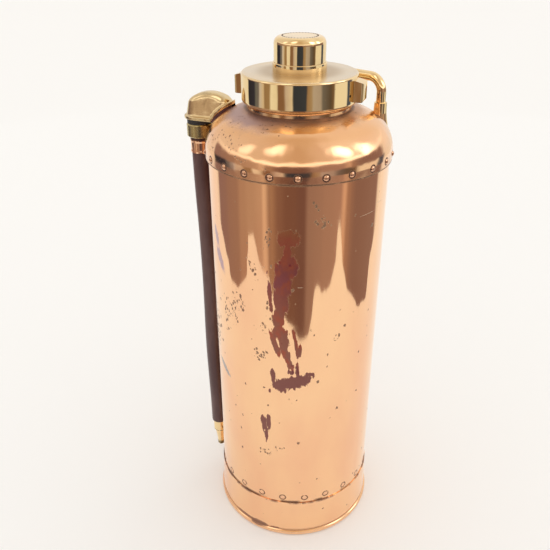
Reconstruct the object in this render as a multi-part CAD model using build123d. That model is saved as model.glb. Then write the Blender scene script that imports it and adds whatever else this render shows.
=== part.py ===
from build123d import *
import math
import os

os.makedirs("parts", exist_ok=True)

# A two-gallon soda-acid fire extinguisher in copper and brass, in millimetres.
# Origin: centre of the foot on the floor. +Z up, -X towards the hose, +Y towards the back.

# Tank
BODY_R = 89.0
SHELL_T = 1.2
CYL_BOTTOM = 14.0
CYL_TOP = 449.8

# Dome: a short skirt lapped over the cylinder, a tight knuckle and a shallow crown
DOME_T = 2.1
DOME_R = BODY_R + DOME_T
DOME_BOTTOM = 442.0
KNUCKLE_Z = 449.5
KNUCKLE_R = 34.5
KNUCKLE_TURN = 67.0
CROWN_R = 180.0

# Foot: a flared skirt that ends in a bead rolled round a wire
SKIRT_TOP = 51.4
SKIRT_R = [(89.9, SKIRT_TOP), (90.2, 40.0), (90.6, 25.0), (91.2, 10.0)]
BEAD_R = 89.6
BEAD_Z = 3.1
BEAD_SECTION_R = 3.4
WIRE_R = 2.2
BEAD_SLOT = 0.8

# Dished bottom end, bulging down inside the skirt
END_FLANGE_TOP = 68.0
END_KNUCKLE_Z = 50.0
END_KNUCKLE_R = 14.0
END_KNUCKLE_TURN = 65.0

# Rivets
DOME_RIVETS = 23
DOME_RIVET_Z = 448.0
DOME_RIVET_START = -72.3
BOTTOM_RIVETS = 22
BOTTOM_RIVET_Z = 59.0
BOTTOM_RIVET_START = -63.8
RIVET_SHANK_R = 1.3
RIVET_HEAD_R = 2.7
RIVET_GAP = 0.06

# Neck and its thread
NECK_R = 47.0
NECK_BORE_R = 38.0
NECK_TOP = 511.0
NECK_BOTTOM = 478.0
NECK_FLANGE_R = 50.0
NECK_FLANGE_TOP = 491.0
NECK_BACK_R = 54.0
CAGE_SEAT_R = 41.0
CAGE_SEAT_Z = 506.0
THREAD_PITCH = 3.175
THREAD_DEPTH = 1.3
THREAD_FIRST = 492.9
THREAD_TURNS = 6

# Head cap
CAP_R = 54.6
CAP_BOTTOM = 493.0
CAP_TOP = 520.0
CAP_BORE_R = NECK_R + 0.3
CAP_TOP_ROUND = 2.0
CAP_FOOT_ROUND = 3.5
WASHER_T = 3.0
CAP_ROOF = NECK_TOP + WASHER_T
LUG_END = 62.8
LUG_HALF = 8.0
LUG_FOOT = 497.0
LUG_TOP = 514.0
LUG_ROUND = 2.0
WELL_R = 24.6
WELL_WALL_R = 28.5
WELL_FLOOR = 500.0
WELL_BOTTOM = 494.0
BOSS_R = 15.0
BOSS_BOTTOM = 486.0
GLAND_R = 10.0
GLAND_ROOF = 495.0
VENT_AZIMUTH = -15.8
VENT_Z = 504.0
VENT_R = 1.25

# Collar that guides the knob
COLLAR_R = 25.2
COLLAR_TOP = 528.5
COLLAR_FOOT = 512.0
WEEP_AZIMUTH = -132.7
WEEP_Z = 526.4
WEEP_R = 1.5

# Striker
FIT = 0.08
KNOB_R = 24.0
KNOB_TOP = 551.0
KNOB_FOOT = 524.0
KNOB_ROOF = 545.0
KNOB_BORE_R = 21.5
KNOB_ROUND = 6.2
KNOB_BOSS_R = 10.0
KNOB_BOSS_FOOT = 533.0
ROD_R = 6.0
ROD_FOOT = 470.0
HEAD_R = 10.0
HEAD_TOP = 480.0
HEAD_FOOT = 462.0
STROKE = 18.0
SPRING_R = 14.0
SPRING_WIRE_R = 0.9
SPRING_TURNS = 7

# Acid bottle and its cage
CAGE_R = 33.0
CAGE_WALL = 1.6
STRAP_W = 8.0
CUP_Z = 335.0
CUP_WALL = 17.0
PAD_T = 3.0
BOTTLE_R = 27.0
BOTTLE_T = 2.0
BOTTLE_SHOULDER = 412.0
BOTTLE_TOP = HEAD_FOOT - STROKE - 0.6

# Handle: a bent rod in a plane square to the radius at this azimuth
HANDLE_AZIMUTH = 68.0
HANDLE_OUT = 69.0
HANDLE_HALF = 46.2
HANDLE_Z = 509.0
HANDLE_R = 4.75
HANDLE_BEND = 14.0
HANDLE_LEG_FOOT = 477.5
HANDLE_PIN_Z = 480.5
HANDLE_PIN_R = 1.5

# Outlet elbow
OUTLET = 105.7
INLET = 75.0
GASKET_T = 1.6
HOOD_INNER = 63.5
HOOD_OUTER = 121.5
HOOD_HALF = 15.2
HOOD_FOOT = 456.0
HOOD_DRAFT = 11.0
HOOD_CROWN_R = 35.0
HOOD_CROWN_X = 91.0
HOOD_CROWN_Z = 460.0
HOOD_ROUND = 6.5
RIM_INNER = 67.0
RIM_HALF = 15.0
RIM_OUTER = OUTLET + RIM_HALF
RIM_T = 3.4
RIM_Z = 468.0
WATERWAY_R = 5.0
WATERWAY_Z = 479.0
SPIGOT_R = 10.0
SPIGOT_FOOT = 455.0
INLET_R = 8.5
INLET_FOOT = 452.0
BACKNUT_TOP = 461.0
BACKNUT_H = 7.0
BACKNUT_FLATS = 21.0
SADDLE_R = 14.0

# Dip tube
DIP_R = 6.0
DIP_T = 1.2
DIP_FOOT = 84.0
DIP_TOP = 470.0
STRAINER_R = 9.0
STRAINER_T = 1.2
STRAINER_FOOT = 72.0
STRAINER_TOP = 92.0

# Hose union
NUT_R = 13.4
NUT_FOOT = 449.2
NUT_TOP = 462.7
NUT_GAP = 0.3
NUT_LIP = 2.5
TAIL_FLANGE_R = 9.8
TAIL_NECK_R = 8.0
TAIL_COLLAR_R = 10.4
TAIL_COLLAR_TOP = 448.8
TAIL_BORE_R = 4.5

# Hose: the route of its centre line, from the tail down to the nozzle
HOSE_R = 9.8
HOSE_TOP = 446.0
HOSE_FOOT = 71.0
HOSE_ROUTE = [
    (-105.7, 0.0, HOSE_TOP),
    (-105.7, 0.0, 404.0),
    (-104.2, 1.2, 336.0),
    (-103.7, 0.8, 270.0),
    (-104.6, -0.6, 194.0),
    (-103.6, -0.5, 136.0),
    (-103.0, 0.0, 104.0),
    (-103.0, 0.0, HOSE_FOOT),
]
FERRULE_R = 10.8
FERRULE_FOOT = 432.7
NOZZLE_X = HOSE_ROUTE[-1][0]
HOLDER_R = 8.5
HOLDER_FOOT = 54.0
NOZZLE_TIP = 28.5
NOZZLE_TIP_R = 4.0
NOZZLE_BORE_R = 2.4

LOW = (Align.CENTER, Align.CENTER, Align.MIN)


def cylinder(radius, low, high, x=0.0, y=0.0):
    """A vertical cylinder between two heights."""
    return Pos(x, y, low) * Cylinder(radius, high - low, align=LOW)


def ring(inner, outer, low, high, x=0.0):
    """A vertical ring between two heights."""
    return cylinder(outer, low, high, x) - cylinder(inner, low - 1, high + 1, x)


def turned(outline, x=0.0):
    """A solid turned about the vertical axis from a closed outline of (radius, height) points."""
    section = Plane.XZ * make_face(Polyline(*outline, close=True))
    return Pos(x, 0, 0) * revolve(section, Axis.Z)


def around(count, start):
    """Azimuths of equally spaced places round the tank."""
    return [start + 360.0 * i / count for i in range(count)]


def radial(radius, inner, outer, azimuth, height):
    """A cylinder that points straight out from the tank's axis."""
    rod = Cylinder(radius, outer - inner, align=LOW)
    return Rot(0, 0, azimuth) * Pos(inner, 0, height) * Rot(0, 90, 0) * rod


def hexagon(flats, low, high, x=0.0):
    """A hexagonal prism."""
    corner = flats / 2 / math.cos(math.radians(30))
    return Pos(x, 0, low) * extrude(RegularPolygon(corner, 6), high - low)


def polar(centre, radius, angle):
    """The point at an angle round a centre, in degrees."""
    a = math.radians(angle)
    return (centre[0] + radius * math.cos(a), centre[1] + radius * math.sin(a))


def dome_outline(offset, reach):
    """The dome's outline from the skirt's foot in to the radius reach, moved outwards by offset."""
    knuckle = (DOME_R - KNUCKLE_R, KNUCKLE_Z)
    crown = polar(knuckle, KNUCKLE_R - CROWN_R, KNUCKLE_TURN)
    crown_r = CROWN_R + offset
    last = math.degrees(math.acos((reach - crown[0]) / crown_r))
    foot = (DOME_R + offset, DOME_BOTTOM)
    skirt = Line(foot, (DOME_R + offset, KNUCKLE_Z))
    bend = CenterArc(knuckle, KNUCKLE_R + offset, 0, KNUCKLE_TURN)
    top = CenterArc(crown, crown_r, KNUCKLE_TURN, last - KNUCKLE_TURN)
    return skirt + bend + top, foot, polar(crown, crown_r, last)


def dome_block(offset, reach=30.0):
    """The dome's outer form as a solid block, open only where the neck stands."""
    outline, foot, end = dome_outline(offset, reach)
    rest = Polyline(end, (reach, DOME_BOTTOM), foot)
    return revolve(Plane.XZ * make_face(outline + rest), Axis.Z)


def rivet_shanks(count, start, height):
    """The straight shanks of a row of rivets, a little longer than the joint."""
    return [
        radial(RIVET_SHANK_R, BODY_R - 8, BODY_R + 8, a, height)
        for a in around(count, start)
    ]


def dome():
    outer, foot_out, end_out = dome_outline(0, NECK_R)
    inner, foot_in, end_in = dome_outline(-DOME_T, NECK_R)
    section = outer + inner + Line(foot_out, foot_in) + Line(end_out, end_in)
    shell = revolve(Plane.XZ * make_face(section), Axis.Z)
    shell -= rivet_shanks(DOME_RIVETS, DOME_RIVET_START, DOME_RIVET_Z)
    return shell - cylinder(INLET_R, 440, 500, -INLET)


def body_cylinder():
    tube = ring(BODY_R - SHELL_T, BODY_R, CYL_BOTTOM, CYL_TOP)
    tube -= rivet_shanks(DOME_RIVETS, DOME_RIVET_START, DOME_RIVET_Z)
    return tube - rivet_shanks(BOTTOM_RIVETS, BOTTOM_RIVET_START, BOTTOM_RIVET_Z)


def bottom_end():
    """A dished end with its flange turned up inside the cylinder."""
    flange_r = BODY_R - SHELL_T
    knuckle = (flange_r - END_KNUCKLE_R, END_KNUCKLE_Z)
    reach = knuckle[0] / math.cos(math.radians(END_KNUCKLE_TURN))
    crown = (0, polar(knuckle, reach, 180 - END_KNUCKLE_TURN)[1])
    walls = []
    for inset in (0, SHELL_T):
        wall = Line((flange_r - inset, END_FLANGE_TOP), (flange_r - inset, END_KNUCKLE_Z))
        wall += CenterArc(knuckle, END_KNUCKLE_R - inset, 0, -END_KNUCKLE_TURN)
        wall += CenterArc(
            crown, reach + END_KNUCKLE_R - inset, -END_KNUCKLE_TURN, END_KNUCKLE_TURN - 90
        )
        walls.append(wall)
    lowest = crown[1] - reach - END_KNUCKLE_R
    axis_edge = Line((0, lowest), (0, lowest + SHELL_T))
    rim = Line((flange_r, END_FLANGE_TOP), (flange_r - SHELL_T, END_FLANGE_TOP))
    dish = revolve(Plane.XZ * make_face(walls[0] + walls[1] + axis_edge + rim), Axis.Z)
    return dish - rivet_shanks(BOTTOM_RIVETS, BOTTOM_RIVET_START, BOTTOM_RIVET_Z)


def rivet(azimuth, height, joint_in, joint_out, crown):
    """A rivet through a lap joint: a flat head inside, a domed one outside."""
    flat_top = joint_in - RIVET_GAP
    shank = radial(RIVET_SHANK_R, flat_top, joint_out, azimuth, height)
    flat = radial(RIVET_HEAD_R, flat_top - 1.0, flat_top, azimuth, height)
    ball = (RIVET_HEAD_R**2 + crown**2) / (2 * crown)
    head = Sphere(ball) & Pos(0, 0, ball) * Box(3 * ball, 3 * ball, 2 * crown)
    head = Rot(0, 90, 0) * Pos(0, 0, crown - ball) * head
    return shank + flat + Rot(0, 0, azimuth) * Pos(joint_out, 0, height) * head


def rivet_row(count, start, height, joint_in, joint_out, crown):
    return Compound(
        children=[
            rivet(a, height, joint_in, joint_out, crown) for a in around(count, start)
        ]
    )


def dome_rivets():
    joint_in = BODY_R - SHELL_T
    return rivet_row(DOME_RIVETS, DOME_RIVET_START, DOME_RIVET_Z, joint_in, DOME_R, 1.5)


def bottom_rivets():
    joint_in = BODY_R - 2 * SHELL_T
    return rivet_row(
        BOTTOM_RIVETS, BOTTOM_RIVET_START, BOTTOM_RIVET_Z, joint_in, BODY_R, 0.5
    )


def base_skirt():
    """The flared foot. Its lower edge is rolled round a wire and stands on a narrow flat."""
    lip = BEAD_R - SHELL_T
    outer = SKIRT_R + [(BEAD_R + 1.0, BEAD_Z)]
    inner = [(lip, BEAD_Z), (lip, CYL_BOTTOM - 4), (BODY_R, CYL_BOTTOM - 1), (BODY_R, SKIRT_TOP)]
    bead = Pos(BEAD_R, BEAD_Z) * Circle(BEAD_SECTION_R)
    section = make_face(Polyline(*outer, *inner, close=True)) + bead
    section -= Pos(BEAD_R, BEAD_Z) * Circle(WIRE_R)
    section -= Pos(BEAD_R - 3, BEAD_Z) * Rectangle(6, BEAD_SLOT)
    section -= Pos(BEAD_R, -5) * Rectangle(20, 10)
    return revolve(Plane.XZ * section, Axis.Z)


def foot_bead_wire():
    return Pos(0, 0, BEAD_Z) * Torus(BEAD_R, WIRE_R)


def neck_collar():
    """The threaded neck, flanged on both sides of the dome's plate."""
    barrel = ring(NECK_BORE_R, NECK_R, NECK_BOTTOM, NECK_TOP)
    backing = ring(NECK_R - 1, NECK_BACK_R, NECK_BOTTOM, KNUCKLE_Z + 40)
    flange = ring(NECK_R - 1, NECK_FLANGE_R, KNUCKLE_Z + 30, NECK_FLANGE_TOP)
    neck = barrel + (backing & dome_block(-DOME_T)) + (flange - dome_block(0))
    neck -= cylinder(CAGE_SEAT_R, CAGE_SEAT_Z, NECK_TOP + 1)
    half = THREAD_PITCH * 0.4
    for turn in range(THREAD_TURNS):
        z = THREAD_FIRST + turn * THREAD_PITCH
        groove = [(NECK_R + 1, z - half), (NECK_R, z - half), (NECK_R - THREAD_DEPTH, z)]
        neck -= turned(groove + [(NECK_R, z + half), (NECK_R + 1, z + half)])
    return neck


def head_cap():
    """The cap: a wide cup over the neck with a well for the knob and a gland under it."""
    outline = [
        (ROD_R + FIT, WELL_FLOOR),
        (WELL_R, WELL_FLOOR),
        (WELL_R, COLLAR_FOOT),
        (COLLAR_R, COLLAR_FOOT),
        (COLLAR_R, CAP_TOP),
        (CAP_R, CAP_TOP),
        (CAP_R, CAP_BOTTOM),
        (CAP_BORE_R, CAP_BOTTOM),
        (CAP_BORE_R, CAP_ROOF),
        (WELL_WALL_R, CAP_ROOF),
        (WELL_WALL_R, WELL_BOTTOM),
        (BOSS_R, WELL_BOTTOM),
        (BOSS_R, BOSS_BOTTOM),
        (GLAND_R, BOSS_BOTTOM),
        (GLAND_R, GLAND_ROOF),
        (ROD_R + FIT, GLAND_ROOF),
    ]
    cap = turned(outline)
    for place, radius in ((-1, CAP_TOP_ROUND), (0, CAP_FOOT_ROUND)):
        rims = cap.edges().filter_by(GeomType.CIRCLE)
        rims = rims.filter_by(lambda e: e.radius > CAP_R - 0.1).sort_by(Axis.Z)
        cap = fillet(rims[place], radius)
    for azimuth in (0, 180):
        cap += Rot(0, 0, azimuth) * cap_lug()
    return cap - radial(VENT_R, CAP_BORE_R - 3, CAP_R + 3, VENT_AZIMUTH, VENT_Z)


def cap_lug():
    """A spanner lug whose top slopes down and outwards."""
    root = CAP_R - 3
    side = [
        (root, LUG_FOOT),
        (LUG_END, LUG_FOOT),
        (LUG_END, LUG_TOP),
        (CAP_R, LUG_TOP + 2),
        (root, LUG_TOP + 2),
    ]
    lug = extrude(Plane.XZ * make_face(Polyline(*side, close=True)), LUG_HALF, both=True)
    return fillet(lug.edges().group_by(Axis.X)[-1], LUG_ROUND)


def cap_washer():
    return ring(NECK_BORE_R + 4, CAP_BORE_R - 0.5, NECK_TOP, CAP_ROOF)


def knob_collar():
    sleeve = ring(KNOB_R + FIT, COLLAR_R, COLLAR_FOOT, COLLAR_TOP)
    sleeve = chamfer(sleeve.edges().group_by(Axis.Z)[-1].sort_by(Edge.length)[-1], 0.5)
    return sleeve - radial(WEEP_R, KNOB_R - 3, COLLAR_R + 3, WEEP_AZIMUTH, WEEP_Z)


def gland_packing():
    return ring(ROD_R + FIT, GLAND_R, GLAND_ROOF - 4, GLAND_ROOF)


def gland_nut():
    screw = cylinder(GLAND_R, BOSS_BOTTOM, GLAND_ROOF - 4)
    nut = hexagon(22.0, BOSS_BOTTOM - 5, BOSS_BOTTOM) + screw
    return nut - cylinder(ROD_R + FIT, BOSS_BOTTOM - 6, GLAND_ROOF)


def strike_knob():
    """A hollow knob with a rounded top and a boss for the plunger's rod."""
    body = cylinder(KNOB_R, KNOB_FOOT, KNOB_TOP)
    body = fillet(body.edges().group_by(Axis.Z)[-1], KNOB_ROUND)
    body -= cylinder(KNOB_BORE_R, KNOB_FOOT - 1, KNOB_ROOF)
    body += cylinder(KNOB_BOSS_R, KNOB_BOSS_FOOT, KNOB_ROOF)
    body -= cylinder(ROD_R, KNOB_BOSS_FOOT - 1, KNOB_ROOF)
    return body - plunger_pin()


def plunger_pin():
    pin = Cylinder(1.6, 2 * KNOB_BOSS_R)
    return Pos(0, 0, KNOB_BOSS_FOOT + 5) * Rot(0, 90, 0) * pin


def plunger_rod():
    return cylinder(ROD_R, ROD_FOOT, KNOB_ROOF) - plunger_pin()


def plunger_head():
    """The hammer on the rod's foot. Its shoulder stops the rod from rising."""
    outline = [
        (0, HEAD_FOOT),
        (3, HEAD_FOOT),
        (HEAD_R, HEAD_FOOT + 6),
        (HEAD_R, HEAD_TOP),
        (ROD_R, HEAD_TOP),
        (ROD_R, ROD_FOOT),
        (0, ROD_FOOT),
    ]
    return turned(outline)


def return_spring():
    """A coil spring between the well's floor and the knob's roof."""
    height = KNOB_ROOF - WELL_FLOOR - 2 * SPRING_WIRE_R - 0.4
    low = WELL_FLOOR + SPRING_WIRE_R + 0.2
    coil = Helix(height / SPRING_TURNS, height, SPRING_R)
    section = Plane(origin=coil @ 0, z_dir=coil % 0) * Circle(SPRING_WIRE_R)
    return Pos(0, 0, low) * sweep(section, path=coil)


def cage_ring():
    """The ring that hangs the cage from the ledge in the neck."""
    inner = CAGE_R - CAGE_WALL / 2 - 0.4
    lip = CAGE_R + CAGE_WALL / 2 + 0.6
    flange = ring(inner, CAGE_SEAT_R - 0.3, CAGE_SEAT_Z, CAGE_SEAT_Z + 3.5)
    return flange + ring(inner, lip, CAGE_SEAT_Z - 6, CAGE_SEAT_Z)


def cage_straps():
    """Four straps between the cage's ring and its cup."""
    length = CAGE_SEAT_Z - 6 - CUP_Z - CUP_WALL
    strap = Pos(CAGE_R, 0, CUP_Z + CUP_WALL) * Box(CAGE_WALL, STRAP_W, length, align=LOW)
    return Compound(children=[Rot(0, 0, a) * strap for a in around(4, 45)])


def cage_cup():
    """The cup under the bottle, with a ring of drain holes in its floor."""
    inner = CAGE_R - CAGE_WALL
    cup = cylinder(CAGE_R + CAGE_WALL, CUP_Z, CUP_Z + CUP_WALL)
    cup -= cylinder(inner, CUP_Z + 2, CUP_Z + CUP_WALL + 1)
    for azimuth in around(6, 0):
        cup -= Rot(0, 0, azimuth) * cylinder(3.5, CUP_Z - 1, CUP_Z + 3, 20)
    return cup


def bottle_pad():
    return cylinder(BOTTLE_R + 1, CUP_Z + 2, CUP_Z + 2 + PAD_T)


def acid_bottle():
    """A sealed glass bottle, hollow, with sloping shoulders and a thin domed crown."""
    foot = CUP_Z + 2 + PAD_T
    outer = cylinder(BOTTLE_R, foot, BOTTLE_SHOULDER)
    outer += Pos(0, 0, BOTTLE_SHOULDER) * Cone(BOTTLE_R, 11, 18, align=LOW)
    outer += cylinder(11, BOTTLE_SHOULDER + 18, BOTTLE_TOP)
    inner = cylinder(BOTTLE_R - BOTTLE_T, foot + BOTTLE_T, BOTTLE_SHOULDER)
    inner += Pos(0, 0, BOTTLE_SHOULDER) * Cone(BOTTLE_R - BOTTLE_T, 9, 18, align=LOW)
    inner += cylinder(9, BOTTLE_SHOULDER + 18, BOTTLE_TOP - 1.2)
    crown = outer.edges().filter_by(GeomType.CIRCLE).group_by(Axis.Z)[-1]
    return fillet(crown, 2.0) - inner


def handle_plane():
    """The plane of the handle: x along the bar, y up."""
    a = math.radians(HANDLE_AZIMUTH)
    out = Vector(math.cos(a), math.sin(a), 0)
    return Plane(origin=out * HANDLE_OUT, x_dir=(-out.Y, out.X, 0), z_dir=out)


def handle_rod():
    corners = [
        (-HANDLE_HALF, HANDLE_LEG_FOOT),
        (-HANDLE_HALF, HANDLE_Z),
        (HANDLE_HALF, HANDLE_Z),
        (HANDLE_HALF, HANDLE_LEG_FOOT),
    ]
    path = handle_plane() * FilletPolyline(*corners, radius=HANDLE_BEND)
    rod = sweep(Plane(origin=path @ 0, z_dir=path % 0) * Circle(HANDLE_R), path=path)
    return rod - handle_pins()


def handle_pins():
    pin = Cylinder(HANDLE_PIN_R, 13.2)
    places = [Pos(s * HANDLE_HALF, HANDLE_PIN_Z) for s in (-1, 1)]
    return Compound(children=[handle_plane().location * place * pin for place in places])


def handle_foot(side):
    """A flared foot that sits on the dome's shoulder and holds one leg of the handle."""
    flare = [(0, 459), (9.2, 459), (8.6, 464), (7.4, 470), (6.6, 476), (6.2, 486), (0, 486)]
    spot = handle_plane().from_local_coords(Vector(side * HANDLE_HALF, 0, 0))
    foot = Pos(spot.X, spot.Y, 0) * turned(flare)
    foot -= dome_block(0)
    foot -= cylinder(HANDLE_R, HANDLE_LEG_FOOT, 490, spot.X, spot.Y)
    return foot - handle_pins()


def plan_slot(inner, outer, half, low, high, draft=0.0):
    """A block with rounded ends, seen from above, between two distances out along -X."""
    outline = Pos(-(inner + outer) / 2, 0, low) * SlotOverall(outer - inner, 2 * half)
    return extrude(outline, high - low, taper=draft)


def elbow_hood():
    """The rounded bonnet over the waterway."""
    hood = plan_slot(HOOD_INNER, HOOD_OUTER, HOOD_HALF, HOOD_FOOT, 510, HOOD_DRAFT)
    barrel = Cylinder(HOOD_CROWN_R, 60)
    hood &= Pos(-HOOD_CROWN_X, 0, HOOD_CROWN_Z) * Rot(90, 0, 0) * barrel
    top = hood.edges().filter_by(lambda e: e.center().Z > RIM_Z + 8 and e.length > 4)
    top = top.filter_by(lambda e: abs((e @ 0 - e @ 1).Z) < 14)
    return fillet(top, HOOD_ROUND)


def outlet_elbow():
    """The bonnet, its rim that follows the dome, and the waterway through them."""
    plan = plan_slot(RIM_INNER, RIM_OUTER, RIM_HALF, RIM_Z, 500)
    plate = Pos(-RIM_OUTER, 0, RIM_Z) * Box(
        60, 3 * RIM_HALF, RIM_T, align=(Align.MIN, Align.CENTER, Align.MIN)
    )
    rim = plan & (dome_block(GASKET_T + RIM_T) + plate)
    elbow = (elbow_hood() + rim) - dome_block(GASKET_T)
    elbow -= Pos(-OUTLET, 0, RIM_Z - 20) * Box(60, 60, 20, align=LOW)
    elbow += cylinder(SPIGOT_R, SPIGOT_FOOT, RIM_Z + 2, -OUTLET)
    elbow += cylinder(INLET_R, INLET_FOOT, WATERWAY_Z, -INLET)
    elbow -= cylinder(DIP_R, INLET_FOOT - 1, DIP_TOP, -INLET)
    for x in (-OUTLET, -INLET):
        elbow -= cylinder(WATERWAY_R, SPIGOT_FOOT - 1, WATERWAY_Z, x)
        elbow -= Pos(x, 0, WATERWAY_Z) * Sphere(WATERWAY_R)
    across = Cylinder(WATERWAY_R, OUTLET - INLET, align=LOW)
    return elbow - Pos(-OUTLET, 0, WATERWAY_Z) * Rot(0, 90, 0) * across


def elbow_gasket():
    plan = plan_slot(RIM_INNER, RIM_OUTER, RIM_HALF, RIM_Z, 500)
    sheet = plan & (dome_block(GASKET_T) - dome_block(0))
    return sheet - cylinder(INLET_R, 440, 500, -INLET)


def saddle_washer():
    """Packs out the slope under the dome so that the back nut sits square."""
    block = ring(INLET_R, SADDLE_R, BACKNUT_TOP, 500, -INLET)
    return block & dome_block(-DOME_T)


def elbow_backnut():
    nut = hexagon(BACKNUT_FLATS, BACKNUT_TOP - BACKNUT_H, BACKNUT_TOP, -INLET)
    return nut - cylinder(INLET_R, BACKNUT_TOP - 20, BACKNUT_TOP + 1, -INLET)


def dip_tube():
    return ring(DIP_R - DIP_T, DIP_R, DIP_FOOT, DIP_TOP, -INLET)


def dip_strainer():
    """A perforated can round the dip tube's foot."""
    can = cylinder(STRAINER_R, STRAINER_FOOT, STRAINER_TOP, -INLET)
    can -= cylinder(
        STRAINER_R - STRAINER_T, STRAINER_FOOT + 1.5, STRAINER_TOP - 2, -INLET
    )
    can -= cylinder(DIP_R, DIP_FOOT, STRAINER_TOP + 1, -INLET)
    for row in range(3):
        for azimuth in around(8, 22.5 * row):
            hole = radial(1.1, 5, 12, azimuth, STRAINER_FOOT + 4 + 4 * row)
            can -= Pos(-INLET, 0, 0) * hole
    return can


def hose_washer():
    return ring(SPIGOT_R + 0.1, NUT_R - 0.7, NUT_TOP + NUT_GAP, RIM_Z, -OUTLET)


def tail_washer():
    return ring(WATERWAY_R, TAIL_FLANGE_R, SPIGOT_FOOT - 1, SPIGOT_FOOT, -OUTLET)


def hose_nut():
    """The union nut that draws the hose tail up to the elbow."""
    edge = 1.0
    lip_top = NUT_FOOT + NUT_LIP
    bore = SPIGOT_R + NUT_GAP
    outline = [
        (TAIL_NECK_R + NUT_GAP, NUT_FOOT),
        (NUT_R - edge, NUT_FOOT),
        (NUT_R, NUT_FOOT + edge),
        (NUT_R, NUT_TOP - edge),
        (NUT_R - edge, NUT_TOP),
        (bore, NUT_TOP),
        (bore, lip_top),
        (TAIL_NECK_R + NUT_GAP, lip_top),
    ]
    return turned(outline, -OUTLET)


def hose_tail():
    """The flanged tail inside the union nut, with a shoulder for the hose's end."""
    flange_low = NUT_FOOT + NUT_LIP + NUT_GAP
    tail = cylinder(TAIL_FLANGE_R, flange_low, SPIGOT_FOOT - 1, -OUTLET)
    tail += cylinder(TAIL_NECK_R, TAIL_COLLAR_TOP, flange_low, -OUTLET)
    tail += cylinder(TAIL_COLLAR_R, HOSE_TOP, TAIL_COLLAR_TOP, -OUTLET)
    return tail - cylinder(TAIL_BORE_R, HOSE_TOP - 1, SPIGOT_FOOT, -OUTLET)


def upper_ferrule():
    """A thin copper ferrule crimped on the hose's end, beaded at both edges."""
    outline = [
        (HOSE_R, FERRULE_FOOT),
        (FERRULE_R - 0.2, FERRULE_FOOT),
        (FERRULE_R, FERRULE_FOOT + 1.5),
        (FERRULE_R - 0.4, FERRULE_FOOT + 3),
        (FERRULE_R - 0.4, HOSE_TOP - 2.5),
        (FERRULE_R, HOSE_TOP - 1),
        (FERRULE_R, HOSE_TOP),
        (HOSE_R, HOSE_TOP),
    ]
    return turned(outline, -OUTLET)


def hose():
    """Straight runs joined by tangent arcs, each as large as its two runs allow."""
    route = [Vector(*p) for p in HOSE_ROUTE]
    runs = [b - a for a, b in zip(route, route[1:])]
    radii = []
    for a, b in zip(runs, runs[1:]):
        half_turn = math.radians(a.get_angle(b)) / 2
        radii.append(0.45 * min(a.length, b.length) / math.tan(half_turn))
    path = FilletPolyline(*route, radius=radii)
    tube = sweep(Plane(origin=path @ 0, z_dir=path % 0) * Circle(HOSE_R), path=path)
    print("hose bend radii", [round(r) for r in radii])
    expected = math.pi * HOSE_R**2 * path.length
    print("hose length", round(path.length, 1), "volume ratio", round(tube.volume / expected, 4))
    return tube


def nozzle_holder():
    """The brass socket on the hose's lower end."""
    outline = [
        (TAIL_BORE_R, HOLDER_FOOT),
        (HOLDER_R - 1.2, HOLDER_FOOT),
        (HOLDER_R - 0.4, HOLDER_FOOT + 1),
        (HOLDER_R - 0.4, HOSE_FOOT - 3.5),
        (HOLDER_R, HOSE_FOOT - 3),
        (HOLDER_R, HOSE_FOOT),
        (TAIL_BORE_R, HOSE_FOOT),
    ]
    return turned(outline, NOZZLE_X)


def nozzle():
    """The tapered jet."""
    outline = [
        (NOZZLE_BORE_R, NOZZLE_TIP),
        (NOZZLE_TIP_R, NOZZLE_TIP),
        (NOZZLE_TIP_R + 0.3, NOZZLE_TIP + 2),
        (NOZZLE_TIP_R + 0.2, NOZZLE_TIP + 8),
        (NOZZLE_TIP_R + 2.2, HOLDER_FOOT - 3),
        (NOZZLE_TIP_R + 2.2, HOLDER_FOOT),
        (NOZZLE_BORE_R, HOLDER_FOOT),
    ]
    return turned(outline, NOZZLE_X)


PARTS = {
    "body_cylinder": body_cylinder,
    "dome": dome,
    "dome_rivets": dome_rivets,
    "base_skirt": base_skirt,
    "foot_bead_wire": foot_bead_wire,
    "bottom_end": bottom_end,
    "bottom_rivets": bottom_rivets,
    "neck_collar": neck_collar,
    "outlet_elbow": outlet_elbow,
    "elbow_gasket": elbow_gasket,
    "saddle_washer": saddle_washer,
    "elbow_backnut": elbow_backnut,
    "dip_tube": dip_tube,
    "dip_strainer": dip_strainer,
    "cage_ring": cage_ring,
    "cage_straps": cage_straps,
    "cage_cup": cage_cup,
    "bottle_pad": bottle_pad,
    "acid_bottle": acid_bottle,
    "handle_rod": handle_rod,
    "handle_foot_left": lambda: handle_foot(1),
    "handle_foot_right": lambda: handle_foot(-1),
    "handle_pins": handle_pins,
    "hose_washer": hose_washer,
    "tail_washer": tail_washer,
    "hose_tail": hose_tail,
    "upper_ferrule": upper_ferrule,
    "hose": hose,
    "nozzle_holder": nozzle_holder,
    "nozzle": nozzle,
    "hose_nut": hose_nut,
    "cap_washer": cap_washer,
    "head_cap": head_cap,
    "knob_collar": knob_collar,
    "gland_packing": gland_packing,
    "gland_nut": gland_nut,
    "strike_knob": strike_knob,
    "plunger_pin": plunger_pin,
    "plunger_rod": plunger_rod,
    "plunger_head": plunger_head,
    "return_spring": return_spring,
}

for node, make in PARTS.items():
    export_step(make(), f"parts/{node}.step")
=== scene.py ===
import math

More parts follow.
